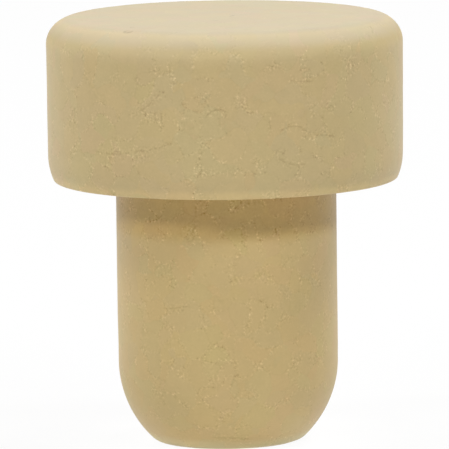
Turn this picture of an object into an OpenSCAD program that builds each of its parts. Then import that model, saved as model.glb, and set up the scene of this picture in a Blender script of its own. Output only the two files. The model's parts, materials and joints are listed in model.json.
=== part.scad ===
/* [Head] */
// Diameter of the head, the wide part that stays outside the bottle
head_d = 31.5; // [26:0.5:50]
// Height of the head, from its flat underside to its flat top
head_h = 14.4; // [8:0.1:30]
// Radius of the rounding round the top of the head
top_edge_r = 2.4; // [0.4:0.1:4]
// How far the lower edge of the head is drawn in, measured along the underside
low_edge_in = 0.5; // [0.2:0.1:1.2]
// How far up the side of the head that drawn-in edge starts
low_edge_h = 2.2; // [1.3:0.1:3.5]

/* [Shank] */
// Diameter of the shank, the part that is pushed into the neck
shank_d = 19.5; // [16:0.5:23.5]
// Length of the shank, from its foot to the underside of the head
shank_l = 23.3; // [14:0.1:45]
// How far the nose of the shank is drawn in, measured along the foot
nose_in = 3.1; // [0.5:0.1:5]
// How far up the shank the nose starts
nose_h = 7.2; // [5.2:0.1:12]
// Radius of the fillet in the corner between shank and head
root_r = 0.5; // [0.2:0.1:0.9]

/* [Hidden] */
head_r = head_d / 2;
shank_r = shank_d / 2;
top_z = shank_l + head_h;
// The fillet in the corner is never wider than the flat underside that it runs into
ledge_w = head_r - low_edge_in - shank_r;
root_fill = min(root_r, ledge_w);
// How far a cutter reaches past the face that it cuts, and a fillet into what it joins
bite = 0.1;
$fn = 180;

// Radius of the arc that leaves a straight side smoothly and is `inset` further in, `rise` further down
function edge_arc_r(inset, rise) = (inset ^ 2 + rise ^ 2) / (2 * inset);

// The corner that such an arc leaves over. The corner point is the origin, with the arc above it to the
// left. It rounds an outer edge when cut away, and fills an inner one when added.
module edge_corner(inset, rise) {
    arc_r = edge_arc_r(inset, rise);
    difference() {
        translate([-inset, -bite]) square([inset + bite, rise + bite]);
        translate([-arc_r, rise]) circle(arc_r);
    }
}

module head_half_section() {
    difference() {
        translate([0, shank_l]) square([head_r, head_h]);
        translate([head_r, shank_l]) edge_corner(low_edge_in, low_edge_h);
        translate([head_r, top_z]) mirror([0, 1]) edge_corner(top_edge_r, top_edge_r);
    }
}

module shank_half_section() {
    difference() {
        square([shank_r, shank_l + bite]);
        translate([shank_r, 0]) edge_corner(nose_in, nose_h);
    }
    translate([shank_r, shank_l]) rotate(180) edge_corner(root_fill, root_fill);
}

// The whole stopper is moulded as one piece, so its half section is turned about the axis once
module cork_stopper() {
    color([0.74, 0.65, 0.47])
        rotate_extrude() {
            head_half_section();
            shank_half_section();
        }
}

cork_stopper();
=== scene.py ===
import json
import math

import bpy
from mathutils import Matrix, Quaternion, Vector

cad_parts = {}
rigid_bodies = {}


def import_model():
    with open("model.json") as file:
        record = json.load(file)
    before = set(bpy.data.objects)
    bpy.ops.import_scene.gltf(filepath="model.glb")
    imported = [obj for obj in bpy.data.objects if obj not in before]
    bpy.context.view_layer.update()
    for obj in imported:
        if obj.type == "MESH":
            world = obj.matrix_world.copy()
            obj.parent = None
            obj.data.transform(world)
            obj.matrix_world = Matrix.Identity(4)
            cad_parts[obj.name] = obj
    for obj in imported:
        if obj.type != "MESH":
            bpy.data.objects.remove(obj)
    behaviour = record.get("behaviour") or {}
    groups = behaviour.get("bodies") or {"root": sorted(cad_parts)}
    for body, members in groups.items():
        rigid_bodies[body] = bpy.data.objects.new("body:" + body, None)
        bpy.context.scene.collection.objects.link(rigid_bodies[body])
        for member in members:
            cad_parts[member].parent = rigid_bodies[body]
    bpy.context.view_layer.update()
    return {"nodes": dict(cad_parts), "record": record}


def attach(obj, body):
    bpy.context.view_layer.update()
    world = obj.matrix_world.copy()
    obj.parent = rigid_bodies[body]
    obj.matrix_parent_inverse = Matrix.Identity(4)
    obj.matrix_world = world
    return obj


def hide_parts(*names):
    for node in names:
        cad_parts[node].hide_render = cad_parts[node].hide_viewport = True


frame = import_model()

mm = 0.001
quarter = math.pi / 2


class Wire:  # a node's output, with operators that add Math nodes
    def __init__(self, tree, socket):
        self.tree = tree
        self.socket = socket

    def math(self, operation, *values):
        return self.tree.add("ShaderNodeMath", {"operation": operation}, dict(enumerate(values)))

    def __add__(self, other):
        return self.math("ADD", self, other)

    def __radd__(self, other):
        return self.math("ADD", other, self)

    def __sub__(self, other):
        return self.math("SUBTRACT", self, other)

    def __rsub__(self, other):
        return self.math("SUBTRACT", other, self)

    def __mul__(self, other):
        return self.math("MULTIPLY", self, other)

    def __rmul__(self, other):
        return self.math("MULTIPLY", other, self)

    def __truediv__(self, other):
        return self.math("DIVIDE", self, other)

    def __rtruediv__(self, other):
        return self.math("DIVIDE", other, self)

    def __pow__(self, other):
        return self.math("POWER", self, other)

    def __neg__(self):
        return self.math("MULTIPLY", self, -1)

    def __abs__(self):
        return self.math("ABSOLUTE", self)

    def __gt__(self, other):
        return self.math("GREATER_THAN", self, other)

    def __lt__(self, other):
        return self.math("LESS_THAN", self, other)

    def mapped(self, interpolation, low, high):
        settings = {"interpolation_type": interpolation, "clamp": True}
        sockets = {"Value": self, "From Min": low, "From Max": high}
        return self.tree.add("ShaderNodeMapRange", settings, sockets)

    def within(self, low, high):  # 0 at low, 1 at high, straight between
        return self.mapped("LINEAR", low, high)

    def easing(self, low, high):  # the same with soft ends
        return self.mapped("SMOOTHSTEP", low, high)

    def beside(self, output):  # another output of the same node
        return Wire(self.tree, self.socket.node.outputs[output])


class Tree:  # a node tree, with one way to add a node
    def __init__(self, nodeTree):
        self.nodeTree = nodeTree

    def add(self, kind, settings=None, sockets=None, output=None):
        node = self.nodeTree.nodes.new(kind)
        for name, value in (settings or {}).items():
            setattr(node, name, value)
        for key, value in (sockets or {}).items():
            if isinstance(value, Wire):
                self.nodeTree.links.new(value.socket, node.inputs[key])
            else:
                node.inputs[key].default_value = value
        if output:
            return Wire(self, node.outputs[output])
        shown = [socket for socket in node.outputs if socket.enabled]
        return Wire(self, shown[0]) if shown else None


def sine(angle):
    return angle.math("SINE", angle) if isinstance(angle, Wire) else math.sin(angle)


def cosine(angle):
    return angle.math("COSINE", angle) if isinstance(angle, Wire) else math.cos(angle)


def larger(first, second):
    return first.math("MAXIMUM", first, second)


def vectorMath(tree, operation, *values, output=None):
    return tree.add("ShaderNodeVectorMath", {"operation": operation}, dict(enumerate(values)), output)


def scaled(tree, vector, factor):
    return tree.add("ShaderNodeVectorMath", {"operation": "SCALE"}, {0: vector, "Scale": factor})


def noise(tree, place, size, seed, detail=1.0, roughness=0.5, output=None):
    sockets = {"Vector": place, "W": seed, "Scale": 1 / size, "Detail": detail, "Roughness": roughness}
    return tree.add("ShaderNodeTexNoise", {"noise_dimensions": "4D"}, sockets, output)


def swing(tree, place, size, **choices):  # a noise that goes as far below 0 as above it
    return noise(tree, place, size, **choices) - 0.5


def cells(tree, place, size, feature="F1", output=None):
    sockets = {"Vector": place, "Scale": 1 / size}
    return tree.add("ShaderNodeTexVoronoi", {"feature": feature}, sockets, output)


def mixColour(tree, factor, first, second):  # sockets 6 and 7 of a Mix node are its colours
    return tree.add("ShaderNodeMix", {"data_type": "RGBA"}, {0: factor, 6: first, 7: second})


def emptyTree(owner):  # a material's or the world's
    owner.use_nodes = True
    owner.node_tree.nodes.clear()
    return Tree(owner.node_tree)


def newObject(name, data):
    thing = bpy.data.objects.new(name, data)
    bpy.context.scene.collection.objects.link(thing)
    return thing


# The stopper's body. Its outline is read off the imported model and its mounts, with small changes given here.
body = {
    "name": "stopper_body",
    "columns": 400,  # faces round the axis, a multiple of 4
    "rows": 196,  # rows of faces from foot to top
    "turnRows": 1.0 * mm,  # extra length that a radian of curve counts for when the rows are dealt out
    "footSoft": 1.15 * mm,  # radius that softens the edge of the foot
    "rimSoft": 0.22 * mm,  # and the lower edge of the head
    "crownShare": 0.98,  # the head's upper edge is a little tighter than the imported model's
    "noseShare": 1.05,  # and the nose draws in a little further
    "headTaper": 0.075 * mm,  # how much narrower the head is at its lower edge
    "wobbleSize": 9 * mm,  # slow unevenness of the moulded faces
    "wobbleDepth": 0.05 * mm,
    "lumpSize": 1.7 * mm,  # and a finer one
    "lumpDepth": 0.015 * mm,
    "reliefRange": (0.3, 0.7),  # values of a noise at which its relief begins and is deepest
    "seed": 7.0,
}


def outlineSizes(node):
    mounts = {mount["name"]: mount for mount in frame["record"]["mounts"]}
    shank = mounts["shank"]
    points = [(math.hypot(v.co.x, v.co.y), v.co.z) for v in node.data.vertices]
    near = 0.001 * mm

    def widestAt(height):
        return max(r for r, z in points if abs(z - height) < near)

    top = max(z for r, z in points)
    seat = mounts["head_seat"]["pos_m"][2]
    headRadius = max(r for r, z in points)
    sideLow = min(z for r, z in points if r > headRadius - near)
    shankRadius = shank["dims"]["r_mm"] * mm
    run = shank["dims"]["length_mm"] * mm
    straightLow = shank["pos_m"][2] - run / 2
    return {
        "Head Radius": headRadius,
        "Head Height": top - seat,
        "Top Edge Radius": (headRadius - widestAt(top)) * body["crownShare"],
        "Low Edge Inset": headRadius - widestAt(seat),
        "Low Edge Rise": sideLow - seat,
        "Shank Radius": shankRadius,
        "Shank Length": seat,
        "Nose Inset": (shankRadius - widestAt(0.0)) * body["noseShare"],
        "Nose Rise": straightLow,
        "Root Radius": seat - straightLow - run,
    }


def edgeStrokes(inset, rise, soft):
    # A flat face, a softened corner, then the arc that ends upright: two strokes of (length, heading, turn),
    # and how far short of the upright side the flat face stops
    arcRadius = (inset * inset + rise * rise) / (2 * inset)
    lean = arcRadius.math("ARCSINE", (rise - soft) / (arcRadius - soft))
    start = quarter - lean
    short = arcRadius - (arcRadius - soft) * cosine(lean)
    return [(soft * start, 0.0, start), (arcRadius * lean, start, lean)], short


def outlineStrokes(size):
    # The outline from the edge of the flat foot to the edge of the flat top, and the radius of each flat
    noseStrokes, noseShort = edgeStrokes(size["Nose Inset"], size["Nose Rise"], size["Foot Softness"])
    rimStrokes, rimShort = edgeStrokes(size["Low Edge Inset"], size["Low Edge Rise"], size["Rim Softness"])
    shankRun = size["Shank Length"] - size["Nose Rise"] - size["Root Radius"]
    ledge = size["Head Radius"] - rimShort - size["Shank Radius"] - size["Root Radius"]
    sideRun = size["Head Height"] - size["Low Edge Rise"] - size["Top Edge Radius"]
    strokes = noseStrokes + [
        (shankRun, quarter, 0),
        (size["Root Radius"] * quarter, quarter, -quarter),
        (ledge, 0.0, 0),
    ] + rimStrokes + [
        (sideRun, quarter, 0),
        (size["Top Edge Radius"] * quarter, quarter, quarter),
    ]
    return strokes, size["Shank Radius"] - noseShort, size["Head Radius"] - size["Top Edge Radius"]


def walk(strokes, along, turnRows):
    # How far out and how far up the outline is, where `along` is 0 at its start and 1 at its end
    shares = [length + abs(turn) * turnRows for length, heading, turn in strokes]
    gone = along * sum(shares[1:], shares[0])
    out, up = 0.0, 0.0
    for (length, heading, turn), share in zip(strokes, shares):
        done = (gone / share).within(0.0, 1.0)
        gone = gone - share
        if isinstance(turn, Wire) or turn:
            radius = length / turn
            out = out + radius * (sine(heading + done * turn) - sine(heading))
            up = up + radius * (cosine(heading) - cosine(heading + done * turn))
        else:
            out = out + done * length * round(math.cos(heading))
            up = up + done * length * round(math.sin(heading))
    return out, up


def turnedShape(tree, size):
    # A box from -1 to 1, whose four sides become the turned side and whose ends become the flat foot and top
    across = size["Columns"] / 4 + 1
    box = tree.add("GeometryNodeMeshCube", None, {
        "Size": (2.0, 2.0, 2.0),
        "Vertices X": across,
        "Vertices Y": across,
        "Vertices Z": size["Rows"] + 1,
    })
    x = tree.add("ShaderNodeSeparateXYZ", None, {0: tree.add("GeometryNodeInputPosition")})
    y, z = x.beside("Y"), x.beside("Z")
    nearlyTop = 0.9999
    onTop = z > nearlyTop
    ring = larger(abs(x), abs(y))  # 0 at the middle of an end, 1 at its rim and on the sides
    sideways = abs(x) > abs(y)
    angleX = quarter / 2 * (y / x) + math.pi * (x < 0)
    angleY = quarter - quarter / 2 * (x / y) + math.pi * (y < 0)
    angle = sideways * angleX + (1 - sideways) * angleY

    strokes, footFlat, topFlat = outlineStrokes(size)
    out, up = walk(strokes, (z + 1) / 2, size["Rows Per Turn"])
    radius = out + footFlat * larger(ring, onTop) - topFlat * (1 - ring) * onTop
    # The head narrows from its upper edge down
    crownStart = size["Shank Length"] + size["Head Height"] - size["Top Edge Radius"]
    lower = up.within(crownStart, size["Shank Length"])
    beyond = radius.within(size["Shank Radius"], size["Head Radius"])
    radius = radius - size["Head Taper"] * beyond * lower
    turned = tree.add("ShaderNodeCombineXYZ", None, {
        "X": radius * cosine(angle),
        "Y": radius * sine(angle),
        "Z": up,
    })
    return tree.add("GeometryNodeSetPosition", None, {"Geometry": box, "Position": turned})


def cutRelief(tree, size, shape):
    # Relief is cut in along the normal and never raised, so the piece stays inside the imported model
    place = tree.add("GeometryNodeInputPosition")
    normal = tree.add("GeometryNodeInputNormal")
    wobble = noise(tree, place, size["Wobble Size"], size["Seed"], roughness=0.4)
    lumps = noise(tree, place, size["Lump Size"], size["Seed"] + 3, detail=2.0)
    # The powers leave most of a face smooth and make its deeper places few
    slow, fine = wobble.within(*body["reliefRange"]), lumps.within(*body["reliefRange"])
    depth = size["Wobble Depth"] * slow ** 3 + size["Lump Depth"] * fine ** 2
    return tree.add("GeometryNodeSetPosition", None, {
        "Geometry": shape, "Offset": scaled(tree, normal, -depth)})


def bodyTree(settings):
    group = bpy.data.node_groups.new("turnedCork", "GeometryNodeTree")
    kinds = {float: "NodeSocketFloat", int: "NodeSocketInt", bpy.types.Material: "NodeSocketMaterial"}
    for name, value in settings.items():
        group.interface.new_socket(name=name, in_out="INPUT", socket_type=kinds[type(value)])
    group.interface.new_socket(name="Geometry", in_out="OUTPUT", socket_type="NodeSocketGeometry")
    tree = Tree(group)
    given = tree.add("NodeGroupInput")
    size = {name: given.beside(name) for name in settings}

    shape = cutRelief(tree, size, turnedShape(tree, size))
    shape = tree.add("GeometryNodeSetShadeSmooth", None, {"Geometry": shape, "Shade Smooth": True})
    shape = tree.add("GeometryNodeRealizeInstances", None, {"Geometry": shape})
    shape = tree.add("GeometryNodeSetMaterial", None, {"Geometry": shape, "Material": size["Material"]})
    tree.add("NodeGroupOutput", None, {"Geometry": shape})
    return group


def meshFromTree(name, group, settings):
    piece = newObject(name, bpy.data.meshes.new(name))
    modifier = piece.modifiers.new("shape", "NODES")
    modifier.node_group = group
    for item in group.interface.items_tree:
        if item.item_type == "SOCKET" and item.in_out == "INPUT":
            modifier[item.identifier] = settings[item.name]
    evaluated = piece.evaluated_get(bpy.context.evaluated_depsgraph_get())
    piece.data = bpy.data.meshes.new_from_object(evaluated)
    piece.modifiers.clear()
    return piece


cork = {
    "foot": (0.582, 0.480, 0.236, 1.0),  # base colours from the foot up; the foot's is paler, painted light bounced up from the floor
    "shank": (0.540, 0.402, 0.174, 1.0),
    "recess": (0.495, 0.343, 0.120, 1.0),  # painted shade: darker and warmer where the head keeps the light off
    "lip": (0.578, 0.437, 0.199, 1.0),  # the head's lower edge, lighter: painted light caught from below
    "side": (0.506, 0.388, 0.183, 1.0),
    "crown": (0.545, 0.429, 0.218, 1.0),  # paler toward the rim; this, the rim's and the top's paler colours are painted sheen, the white surroundings seen at a grazing angle
    "rim": (0.572, 0.473, 0.296, 1.0),
    "top": (0.515, 0.437, 0.298, 1.0),
    "footRise": 0.8 * mm,  # where each colour gives way to the next, from the foot, the seat or the top
    "recessDepth": 4.3 * mm,
    "lipDrop": 0.15 * mm,
    "lipRise": 0.65 * mm,
    "crownDepth": 2.35 * mm,
    "rimDepth": 1.2 * mm,
    "topDepth": 0.16 * mm,
    "blend": {  # half the length over which each colour comes in
        "shank": 0.45 * mm,
        "recess": 0.7 * mm,
        "lip": 0.15 * mm,
        "side": 0.35 * mm,
        "crown": 0.75 * mm,
        "rim": 0.5 * mm,
        "top": 0.16 * mm,
    },
    "roughness": 0.45,
    "topRoughness": 0.8,
    "refraction": 1.5,
    "blotchSize": 7 * mm,  # wide and faint changes of brightness
    "blotchDepth": 0.05,  # as a share of the base colour's brightness
    "blotchRoughness": 0.1,
    "mottleSize": 0.9 * mm,  # and small ones
    "mottleDepth": 0.1,
    "granuleSize": 2.0 * mm,
    "granuleTint": (0.045, 0.035, 0.055),  # how far granules differ, in shares of the base colour
    "bendSize": 2.0 * mm,  # the seams between granules are bent by a noise of this size
    "bendDepth": 2.6 * mm,
    "seamWidth": 0.2,  # share of a granule, on each side of a seam, that holds its flecks
    "clusterSize": 1.3 * mm,  # along a seam the flecks come in clusters
    "clusterRange": (0.38, 0.66),  # values of the clusters' noise with no flecks and with all of them
    "fleckSize": 0.2 * mm,
    "fleckColour": (0.67, 0.58, 0.37),  # what a full fleck adds to the base colour or takes from it
    "fleckDepth": 0.36,
    "fleckPeak": 8.5,  # strong flecks stand out further over weak ones
    "fleckLight": 1.7,  # and light ones over dark ones
    "fleckSpread": 0.11,  # how many flecks there are away from the seams
    "creaseSize": 2.0 * mm,  # dark creases open along some seams
    "creaseRange": (0.48, 0.58),  # values of their noise where they are shut and open
    "creaseWidth": 0.06,  # a share of a granule, as the seams' width is
    "creaseDepth": 0.03,
    "topWear": 0.7,  # how much of these marks the handled top has lost
    "topWearStart": 2.75 * mm,  # this loss begins and is full at these depths below the top
    "topWearFull": 0.5 * mm,
    "shankWear": 0.16,  # and how much the shank has lost, which has been pressed smoother
    "recessWear": 0.45,  # and how much stronger they are in the corner under the head
    "recessFull": 0.1 * mm,  # which fades out between these heights above the seat
    "recessEnd": 0.4 * mm,
    "grainSize": 0.25 * mm,  # the finest unevenness, which shows only as bump
    "bumpStrength": 0.3,
    "bumpHeight": 0.02 * mm,
    "bumpMarks": 3.0,  # how strongly the marks show in it, against the grain
}

marks = {
    "halfWidth": 0.14 * mm,  # of a crease
    "fleckReach": 0.7 * mm,  # how far from a crease its flecks go
    "fleckShare": 0.5,  # and how many there are, against a seam's
    "fadeFull": 0.75,  # a crease is full out to this share of half its length
    "fadeEnd": 1.15,  # and ends at this one
    "breakSize": 0.45 * mm,  # along the way it comes and goes at about this length
    "breakRange": (0.25, 0.5),  # values of that noise where it is gone and whole
    # Each crease runs from an azimuth in degrees and a height to another, with a bow between, and a depth.
    # Heights above the top go inward across it by the same amount.
    "creases": [
        (-32.0, 30.6 * mm, -24.0, 31.7 * mm, -0.15 * mm, 0.085),
        (-24.5, 31.6 * mm, -19.0, 32.8 * mm, 0.10 * mm, 0.10),
        (-6.5, 30.4 * mm, 1.5, 30.8 * mm, 0.60 * mm, 0.10),
        (17.0, 29.0 * mm, 26.5, 29.0 * mm, 0.60 * mm, 0.09),
        (28.5, 28.7 * mm, 37.5, 28.4 * mm, 0.06 * mm, 0.10),
        (20.0, 33.6 * mm, 29.0, 33.4 * mm, -0.06 * mm, 0.10),
        (-46.5, 27.2 * mm, -32.0, 27.3 * mm, -0.15 * mm, 0.06),
        (-31.0, 27.4 * mm, -17.5, 28.3 * mm, -0.20 * mm, 0.07),
        (16.0, 27.1 * mm, 26.5, 26.3 * mm, -0.40 * mm, 0.09),
        (-38.5, 37.62 * mm, -34.5, 37.62 * mm, -0.10 * mm, 0.18),
        (-43.5, 39.2 * mm, -41.0, 39.3 * mm, -0.10 * mm, 0.2),
        (-22.5, 42.1 * mm, -20.0, 42.1 * mm, 0.05 * mm, 0.12),
        (-16.0, 47.3 * mm, -7.0, 47.3 * mm, -0.05 * mm, 0.25),
        (40.0, 50.3 * mm, 110.0, 50.1 * mm, 0.05 * mm, 0.25),
        (8.0, 39.6 * mm, 11.5, 39.6 * mm, 0.05 * mm, 0.15),
        (61.0, 37.4 * mm, 58.5, 36.9 * mm, 0.05 * mm, 0.12),
        (39.5, 17.3 * mm, 29.0, 15.8 * mm, -0.50 * mm, 0.06),
        (-35.0, 12.9 * mm, -19.5, 13.3 * mm, -0.10 * mm, 0.09),
        (-11.0, 1.3 * mm, 14.0, 1.1 * mm, 0.06 * mm, 0.09),
    ],
}


def radiusAt(height, sizes):  # the outline's own radius, without its small softenings
    shank, rise, inset = sizes["Shank Radius"], sizes["Nose Rise"], sizes["Nose Inset"]
    head, edge, seat = sizes["Head Radius"], sizes["Top Edge Radius"], sizes["Shank Length"]
    if height < rise:
        arc = (inset ** 2 + rise ** 2) / (2 * inset)
        return shank - arc + math.sqrt(arc ** 2 - (rise - height) ** 2)
    if height < seat:
        return shank
    below = min(seat + sizes["Head Height"] - height, edge)
    return head - edge + math.sqrt(edge ** 2 - (edge - below) ** 2)


def onSurface(azimuth, height, sizes):
    top = sizes["Shank Length"] + sizes["Head Height"]
    radius = radiusAt(min(height, top), sizes) - max(height - top, 0.0)
    turn = math.radians(azimuth)
    return Vector((math.sin(turn) * radius, -math.cos(turn) * radius, min(height, top)))


def creaseMark(tree, place, sizes, fromAzimuth, fromHeight, toAzimuth, toHeight, bow, depth):
    # A crease is where the surface lies one radius away from a centre, near the middle of the arc
    start, end = onSurface(fromAzimuth, fromHeight, sizes), onSurface(toAzimuth, toHeight, sizes)
    chord, middle = end - start, (start + end) / 2
    half = chord.length / 2
    radius = (half ** 2 + bow ** 2) / (2 * abs(bow))
    onTop = fromHeight > sizes["Shank Length"] + sizes["Head Height"]
    outward = Vector((0, 0, 1)) if onTop else Vector((middle.x, middle.y, 0))
    upward = outward.cross(chord).normalized()
    centre = middle + upward * (bow - math.copysign(radius, bow))
    off = abs(vectorMath(tree, "DISTANCE", place, centre, output="Value") - radius)
    away = vectorMath(tree, "DISTANCE", place, middle + upward * bow, output="Value")
    along = away.easing(marks["fadeEnd"] * half, marks["fadeFull"] * half)
    near = marks["fleckShare"] * along * off.easing(marks["fleckReach"], 0.0)
    return depth * along * off.easing(marks["halfWidth"], 0.0), near


def colourBands(tree, height, sizes):
    # The base colour, how handled the surface is, and how strongly its marks show
    seat = sizes["Shank Length"]
    top = seat + sizes["Head Height"]
    starts = {
        "shank": cork["footRise"],
        "recess": seat - cork["recessDepth"],
        "lip": seat - cork["lipDrop"],
        "side": seat + cork["lipRise"],
        "crown": top - cork["crownDepth"],
        "rim": top - cork["rimDepth"],
        "top": top - cork["topDepth"],
    }
    # The foot's, recess's, lip's, crown's, rim's and top's bands are painted light and shade: bounce light,
    # the head's shadow, light from below and sheen
    base, past = cork["foot"], {}
    for name, middle in starts.items():
        half = cork["blend"][name]
        past[name] = height.easing(middle - half, middle + half)
        base = mixColour(tree, past[name], base, cork[name])
    handled = height.easing(top - cork["topWearStart"], top - cork["topWearFull"])
    pressed = height.easing(seat, seat - cork["recessDepth"])
    sheltered = past["recess"] * height.easing(seat + cork["recessEnd"], seat + cork["recessFull"])
    shown = 1 - cork["topWear"] * handled - cork["shankWear"] * pressed + cork["recessWear"] * sheltered
    return base, handled, shown


def granules(tree, place):
    # Each granule's tint, and the distance from the bent seams between them
    bend = noise(tree, place, cork["bendSize"], seed=4.0, output="Color")
    bent = vectorMath(tree, "MULTIPLY_ADD", bend, (cork["bendDepth"],) * 3, place)
    seam = cells(tree, bent, cork["granuleSize"], "DISTANCE_TO_EDGE")
    own = cells(tree, bent, cork["granuleSize"], output="Color")
    lowest = tuple(1 - share / 2 for share in cork["granuleTint"])
    return vectorMath(tree, "MULTIPLY_ADD", own, cork["granuleTint"], lowest), seam


def corkMarks(tree, place, seam, shown, sizes):
    # Flecks, light above 0 and dark below it, and dark creases. They gather along the seams, and flecks also
    # round the creases that have places of their own.
    clusters = noise(tree, place, cork["clusterSize"], seed=2.0).easing(*cork["clusterRange"])
    gather = seam.easing(cork["seamWidth"], 0.0) * clusters
    placed = 0.0
    for mark in marks["creases"]:
        dark, near = creaseMark(tree, place, sizes, *mark)
        placed = placed + dark
        gather = larger(gather, near)
    broken = noise(tree, place, marks["breakSize"], seed=8.0).easing(*marks["breakRange"])
    fleck = swing(tree, place, cork["fleckSize"], roughness=0.6, seed=3.0)
    fleck = fleck * (1 + cork["fleckPeak"] * abs(fleck) + cork["fleckLight"] * fleck)
    fleck = fleck * (cork["fleckSpread"] + gather)
    opened = noise(tree, place, cork["creaseSize"], seed=5.0).easing(*cork["creaseRange"])
    crease = seam.easing(cork["creaseWidth"], 0.0) * opened
    return (cork["fleckDepth"] * fleck - cork["creaseDepth"] * crease) * shown - placed * broken


def corkMaterial(sizes):
    material = bpy.data.materials.new("pressedCork")
    tree = emptyTree(material)
    place = tree.add("ShaderNodeTexCoord", None, None, "Object")
    height = tree.add("ShaderNodeSeparateXYZ", None, {0: place}, "Z")
    base, handled, shown = colourBands(tree, height, sizes)
    tint, seam = granules(tree, place)
    marked = corkMarks(tree, place, seam, shown, sizes)
    blotch = swing(tree, place, cork["blotchSize"], detail=2.0, seed=1.0)
    mottle = swing(tree, place, cork["mottleSize"], seed=9.0)
    bright = 1 + cork["blotchDepth"] * blotch + cork["mottleDepth"] * mottle * shown
    base = scaled(tree, vectorMath(tree, "MULTIPLY", base, tint), bright)
    base = vectorMath(tree, "MULTIPLY_ADD", cork["fleckColour"], marked, base)

    rough = cork["roughness"] + (cork["topRoughness"] - cork["roughness"]) * handled
    grain = noise(tree, place, cork["grainSize"], detail=2.0, roughness=0.6, seed=6.0)
    bump = tree.add("ShaderNodeBump", None, {
        "Strength": cork["bumpStrength"],
        "Distance": cork["bumpHeight"],
        "Height": grain + cork["bumpMarks"] * marked,
    })
    shader = tree.add("ShaderNodeBsdfPrincipled", None, {
        "Base Color": base,
        "Roughness": rough + cork["blotchRoughness"] * blotch,
        "IOR": cork["refraction"],
        "Normal": bump,
    })
    tree.add("ShaderNodeOutputMaterial", None, {"Surface": shader})
    print("pressed cork:", len(material.node_tree.nodes), "nodes")
    return material


def makeBody():
    sizes = outlineSizes(frame["nodes"]["cork_stopper"])
    settings = {
        **sizes,
        "Foot Softness": body["footSoft"],
        "Rim Softness": body["rimSoft"],
        "Head Taper": body["headTaper"],
        "Columns": body["columns"],
        "Rows": body["rows"],
        "Rows Per Turn": body["turnRows"],
        "Wobble Size": body["wobbleSize"],
        "Wobble Depth": body["wobbleDepth"],
        "Lump Size": body["lumpSize"],
        "Lump Depth": body["lumpDepth"],
        "Seed": body["seed"],
        "Material": corkMaterial(sizes),
    }
    piece = meshFromTree(body["name"], bodyTree(settings), settings)
    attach(piece, "root")
    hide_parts("cork_stopper")
    print("stopper body:", len(piece.data.polygons), "faces, sizes in mm:",
          {name: round(value / mm, 3) for name, value in sizes.items()})


view = {
    "distance": 600 * mm,
    "azimuth": 0.0,  # degrees
    "elevation": 7.86,  # degrees above the horizon
    "roll": -0.72,  # degrees
    "aim": (-0.18 * mm, 0.15 * mm, 19.11 * mm),
    "centre": 18 * mm,  # height of the point that the distance is measured from
    "lens": 543.5,  # focal length and sensor width in millimetres
    "sensor": 36.0,
    "clip": (10 * mm, 20.0),
}


def outwards(azimuth, elevation):  # a direction away from the object, with azimuth 0 at the front
    turn, tilt = math.radians(azimuth), math.radians(elevation)
    return Vector((math.sin(turn) * math.cos(tilt), -math.cos(turn) * math.cos(tilt), math.sin(tilt)))


def makeCamera():
    camera = newObject("camera", bpy.data.cameras.new("camera"))
    spot = outwards(view["azimuth"], view["elevation"]) * view["distance"] + Vector((0, 0, view["centre"]))
    look = (Vector(view["aim"]) - spot).to_track_quat("-Z", "Y")
    camera.rotation_mode = "QUATERNION"
    camera.rotation_quaternion = look @ Quaternion((0, 0, 1), math.radians(view["roll"]))
    camera.location = spot
    camera.data.lens = view["lens"]
    camera.data.sensor_width = view["sensor"]
    camera.data.clip_start, camera.data.clip_end = view["clip"]
    bpy.context.scene.camera = camera


studio = {
    "floorColour": (0.8, 0.8, 0.8, 1.0),
    "plainWhite": (1.0, 1.0, 1.0, 1.0),
    "shadowShare": 0.09,  # how much of the floor's shading the camera sees over plain white
    "floorGlow": 0.04,  # light that the floor adds by itself, as a lit table does
    "padGlow": 0.26,  # and more of it close round the foot
    "padReach": (6 * mm, 18 * mm),
    "floorSize": 3.0,  # metres
    "worldLight": 0.0,  # the world looks white but gives no light
    "lamps": [  # azimuth and elevation in degrees, width and height in metres, watts
        (-38, 29, 0.45, 0.12, 2.9),
        (40, 35, 0.45, 0.12, 3.2),
        (-75, 52, 0.12, 0.26, 2.2),
        (70, 68, 0.20, 0.20, 2.3),
        (128, 50, 0.50, 0.15, 4.35),
        (232, 50, 0.50, 0.15, 2.3),
        (245, 22, 0.30, 0.20, 0.95),
    ],
    "lampDistance": 1.0,  # metres
}


def isSeen(tree):  # 1 where the camera, a reflection or glass shows it, 0 where it only lights something
    camera = tree.add("ShaderNodeLightPath", None, None, "Is Camera Ray")
    return camera + camera.beside("Is Glossy Ray") + camera.beside("Is Transmission Ray")


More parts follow.
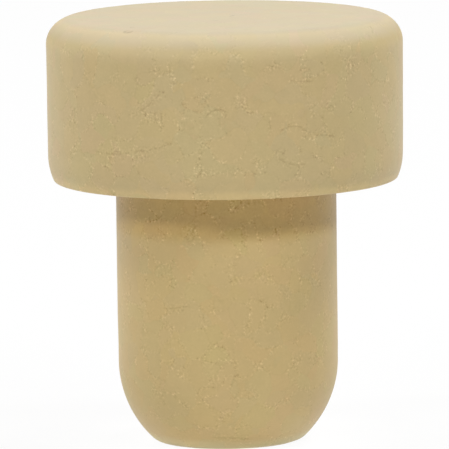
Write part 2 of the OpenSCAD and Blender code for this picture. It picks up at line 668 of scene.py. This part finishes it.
def paperMaterial():
    material = bpy.data.materials.new("whitePaper")
    tree = emptyTree(material)
    place = tree.add("ShaderNodeTexCoord", None, None, "Object")
    away = vectorMath(tree, "LENGTH", place, output="Value")
    near, far = studio["padReach"]
    strength = studio["floorGlow"] + studio["padGlow"] * away.easing(far, near)
    lit = tree.add("ShaderNodeBsdfDiffuse", None, {"Color": studio["floorColour"]})
    glow = tree.add("ShaderNodeEmission", None, {"Color": studio["plainWhite"], "Strength": strength})
    shaded = tree.add("ShaderNodeAddShader", None, {0: lit, 1: glow})
    white = tree.add("ShaderNodeEmission", None, {"Color": studio["plainWhite"], "Strength": 1.0})
    share = isSeen(tree) * (1 - studio["shadowShare"])
    paper = tree.add("ShaderNodeMixShader", None, {0: share, 1: shaded, 2: white})
    tree.add("ShaderNodeOutputMaterial", None, {"Surface": paper})
    return material


def makeFloor():
    half = studio["floorSize"] / 2
    mesh = bpy.data.meshes.new("floor")
    corners = [(-half, -half, 0), (half, -half, 0), (half, half, 0), (-half, half, 0)]
    mesh.from_pydata(corners, [], [(0, 1, 2, 3)])
    mesh.materials.append(paperMaterial())
    newObject("floor", mesh)


def makeWorld():
    world = bpy.data.worlds.new("studio")
    tree = emptyTree(world)
    strength = studio["worldLight"] + (1 - studio["worldLight"]) * isSeen(tree)
    light = tree.add("ShaderNodeBackground", None, {"Color": studio["plainWhite"], "Strength": strength})
    tree.add("ShaderNodeOutputWorld", None, {"Surface": light})
    bpy.context.scene.world = world


def makeLamps():
    for number, (azimuth, elevation, width, height, watts) in enumerate(studio["lamps"]):
        lamp = bpy.data.lights.new(f"softbox{number}", "AREA")
        lamp.shape = "RECTANGLE"
        lamp.size, lamp.size_y = width, height
        lamp.energy = watts
        holder = newObject(lamp.name, lamp)
        away = outwards(azimuth, elevation)
        holder.location = away * studio["lampDistance"] + Vector((0, 0, view["centre"]))
        holder.rotation_euler = (-away).to_track_quat("-Z", "Y").to_euler()
        holder.visible_camera = False


bpy.context.scene.view_settings.view_transform = "Standard"
makeCamera()
print("camera is set")
makeBody()
makeFloor()
makeWorld()
makeLamps()
print("floor, world and", len(studio["lamps"]), "lamps are set")
